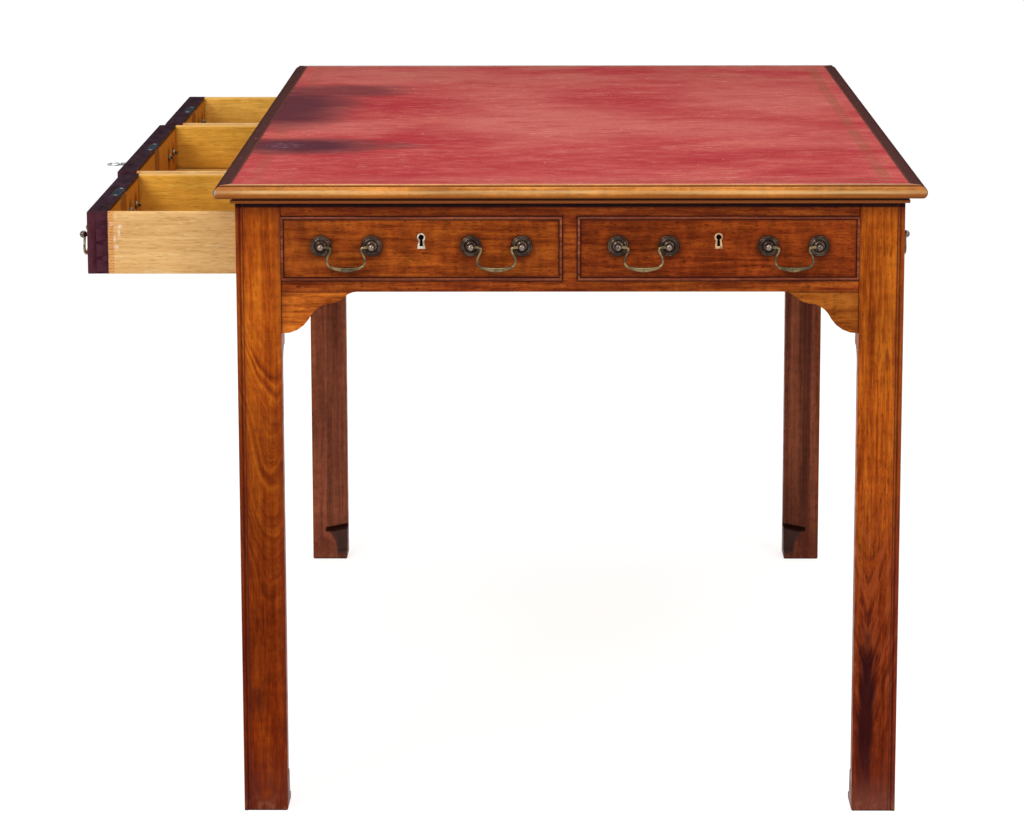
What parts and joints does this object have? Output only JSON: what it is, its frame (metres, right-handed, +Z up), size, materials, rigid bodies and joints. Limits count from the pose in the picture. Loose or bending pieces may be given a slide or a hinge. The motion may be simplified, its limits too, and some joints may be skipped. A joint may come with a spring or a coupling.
{
  "type": "campaign desk",
  "caption": "Rectangular mahogany writing desk with a red leather top, square bracketed legs, drawers along one long side and matching dummy fronts on the others.",
  "frame": {"origin": "centre of the legs' footprint, on the floor", "axes": "+Z up, +Y along the length of the desk away from its near end, +X towards the long side with the dummy fronts; the drawers open towards -X"},
  "size_m": [1.0437, 1.447, 0.765],
  "materials": {
    "mahogany": "french polished, worn",
    "oak": "plain, dry",
    "red_leather": "worn, semi-gloss",
    "brass": "aged, rubbed bright on the high spots",
    "iron": "dull, lightly rusted"
  },
  "bodies": {
    "frame": {"apron_far_end": "mahogany", "apron_near_end": "mahogany", "apron_right_side": "mahogany", "drawer_dividers": "mahogany", "drawer_runners": "oak", "dummy_front_beads": "mahogany", "dummy_fronts": "mahogany", "fixed_backplates": "brass", "fixed_escutcheons": "brass", "fixed_pull_posts": "brass", "leather_skiver": "red_leather", "leg_brackets": "mahogany", "leg_far_left": "mahogany", "leg_far_right": "mahogany", "leg_near_left": "mahogany", "leg_near_right": "mahogany", "rail_above_drawers": "mahogany", "rail_below_drawers": "mahogany", "top_board": "oak", "top_edge_moulding": "mahogany"},
    "bail_near_1": {"bail_near_1": "brass"},
    "bail_near_2": {"bail_near_2": "brass"},
    "bail_near_3": {"bail_near_3": "brass"},
    "bail_near_4": {"bail_near_4": "brass"},
    "bail_far_1": {"bail_far_1": "brass"},
    "bail_far_2": {"bail_far_2": "brass"},
    "bail_far_3": {"bail_far_3": "brass"},
    "bail_far_4": {"bail_far_4": "brass"},
    "bail_right_1": {"bail_right_1": "brass"},
    "bail_right_2": {"bail_right_2": "brass"},
    "bail_right_3": {"bail_right_3": "brass"},
    "bail_right_4": {"bail_right_4": "brass"},
    "bail_right_5": {"bail_right_5": "brass"},
    "bail_right_6": {"bail_right_6": "brass"},
    "near_drawer": {"near_drawer_front": "mahogany", "near_drawer_beads": "mahogany", "near_drawer_sides": "oak", "near_drawer_bottom": "oak", "near_drawer_brasses": "brass", "near_drawer_lock": "iron"},
    "near_drawer_bail_1": {"near_drawer_bail_1": "brass"},
    "near_drawer_bail_2": {"near_drawer_bail_2": "brass"},
    "middle_drawer": {"middle_drawer_front": "mahogany", "middle_drawer_beads": "mahogany", "middle_drawer_sides": "oak", "middle_drawer_bottom": "oak", "middle_drawer_brasses": "brass", "middle_drawer_lock": "iron"},
    "middle_drawer_bail_1": {"middle_drawer_bail_1": "brass"},
    "middle_drawer_bail_2": {"middle_drawer_bail_2": "brass"},
    "far_drawer": {"far_drawer_front": "mahogany", "far_drawer_beads": "mahogany", "far_drawer_sides": "oak", "far_drawer_bottom": "oak", "far_drawer_brasses": "brass", "far_drawer_lock": "iron"},
    "far_drawer_bail_1": {"far_drawer_bail_1": "brass"},
    "far_drawer_bail_2": {"far_drawer_bail_2": "brass"},
    "lock_bolt": {"middle_lock_bolt": "iron"},
    "key": {"middle_key": "iron"}
  },
  "joints": [
    {"name": "bail_near_1_hinge", "type": "hinge", "parent": "frame", "child": "bail_near_1", "pos_m": [-0.2634, -0.7105, 0.6906], "axis": [-1, 0, 0], "range_deg": [-15, 163]},
    {"name": "bail_near_2_hinge", "type": "hinge", "parent": "frame", "child": "bail_near_2", "pos_m": [-0.0866, -0.7105, 0.6906], "axis": [-1, 0, 0], "range_deg": [-15, 163]},
    {"name": "bail_near_3_hinge", "type": "hinge", "parent": "frame", "child": "bail_near_3", "pos_m": [0.0866, -0.7105, 0.6906], "axis": [-1, 0, 0], "range_deg": [-15, 163]},
    {"name": "bail_near_4_hinge", "type": "hinge", "parent": "frame", "child": "bail_near_4", "pos_m": [0.2634, -0.7105, 0.6906], "axis": [-1, 0, 0], "range_deg": [-15, 163]},
    {"name": "bail_far_1_hinge", "type": "hinge", "parent": "frame", "child": "bail_far_1", "pos_m": [0.2634, 0.7105, 0.6906], "axis": [1, 0, 0], "range_deg": [-15, 163]},
    {"name": "bail_far_2_hinge", "type": "hinge", "parent": "frame", "child": "bail_far_2", "pos_m": [0.0866, 0.7105, 0.6906], "axis": [1, 0, 0], "range_deg": [-15, 163]},
    {"name": "bail_far_3_hinge", "type": "hinge", "parent": "frame", "child": "bail_far_3", "pos_m": [-0.0866, 0.7105, 0.6906], "axis": [1, 0, 0], "range_deg": [-15, 163]},
    {"name": "bail_far_4_hinge", "type": "hinge", "parent": "frame", "child": "bail_far_4", "pos_m": [-0.2634, 0.7105, 0.6906], "axis": [1, 0, 0], "range_deg": [-15, 163]},
    {"name": "bail_right_1_hinge", "type": "hinge", "parent": "frame", "child": "bail_right_1", "pos_m": [0.4045, -0.5694, 0.6906], "axis": [0, -1, 0], "range_deg": [-15, 163]},
    {"name": "bail_right_2_hinge", "type": "hinge", "parent": "frame", "child": "bail_right_2", "pos_m": [0.4045, -0.3611, 0.6906], "axis": [0, -1, 0], "range_deg": [-15, 163]},
    {"name": "bail_right_3_hinge", "type": "hinge", "parent": "frame", "child": "bail_right_3", "pos_m": [0.4045, -0.1879, 0.6906], "axis": [0, -1, 0], "range_deg": [-15, 163]},
    {"name": "bail_right_4_hinge", "type": "hinge", "parent": "frame", "child": "bail_right_4", "pos_m": [0.4045, 0.1879, 0.6906], "axis": [0, -1, 0], "range_deg": [-15, 163]},
    {"name": "bail_right_5_hinge", "type": "hinge", "parent": "frame", "child": "bail_right_5", "pos_m": [0.4045, 0.3611, 0.6906], "axis": [0, -1, 0], "range_deg": [-15, 163]},
    {"name": "bail_right_6_hinge", "type": "hinge", "parent": "frame", "child": "bail_right_6", "pos_m": [0.4045, 0.5694, 0.6906], "axis": [0, -1, 0], "range_deg": [-15, 163]},
    {"name": "near_drawer_slide", "type": "slide", "parent": "frame", "child": "near_drawer", "axis": [-1, 0, 0], "range_m": [-0.181, 0.219]},
    {"name": "near_drawer_bail_1_hinge", "type": "hinge", "parent": "near_drawer", "child": "near_drawer_bail_1", "pos_m": [-0.5855, -0.56865, 0.6906], "axis": [0, 1, 0], "range_deg": [-15, 163]},
    {"name": "near_drawer_bail_2_hinge", "type": "hinge", "parent": "near_drawer", "child": "near_drawer_bail_2", "pos_m": [-0.5855, -0.36185, 0.6906], "axis": [0, 1, 0], "range_deg": [-15, 163]},
    {"name": "middle_drawer_slide", "type": "slide", "parent": "frame", "child": "middle_drawer", "axis": [-1, 0, 0], "range_m": [-0.1875, 0.2125]},
    {"name": "middle_drawer_bail_1_hinge", "type": "hinge", "parent": "middle_drawer", "child": "middle_drawer_bail_1", "pos_m": [-0.592, -0.18715, 0.6906], "axis": [0, 1, 0], "range_deg": [-15, 163]},
    {"name": "middle_drawer_bail_2_hinge", "type": "hinge", "parent": "middle_drawer", "child": "middle_drawer_bail_2", "pos_m": [-0.592, 0.18715, 0.6906], "axis": [0, 1, 0], "range_deg": [-15, 163]},
    {"name": "far_drawer_slide", "type": "slide", "parent": "frame", "child": "far_drawer", "axis": [-1, 0, 0], "range_m": [-0.181, 0.219]},
    {"name": "far_drawer_bail_1_hinge", "type": "hinge", "parent": "far_drawer", "child": "far_drawer_bail_1", "pos_m": [-0.5855, 0.36185, 0.6906], "axis": [0, 1, 0], "range_deg": [-15, 163]},
    {"name": "far_drawer_bail_2_hinge", "type": "hinge", "parent": "far_drawer", "child": "far_drawer_bail_2", "pos_m": [-0.5855, 0.56865, 0.6906], "axis": [0, 1, 0], "range_deg": [-15, 163]},
    {"name": "key_turn", "type": "hinge", "parent": "middle_drawer", "child": "key", "pos_m": [-0.58, 0, 0.701], "axis": [-1, 0, 0], "range_deg": [0, 180]},
    {"name": "bolt_throw", "type": "slide", "parent": "middle_drawer", "child": "lock_bolt", "axis": [0, 0, 1], "range_m": [0, 0.006]}
  ],
  "couplings": [
    {"joint": "key_turn", "follows": "bolt_throw", "rad_per_m": 523.59}
  ]
}
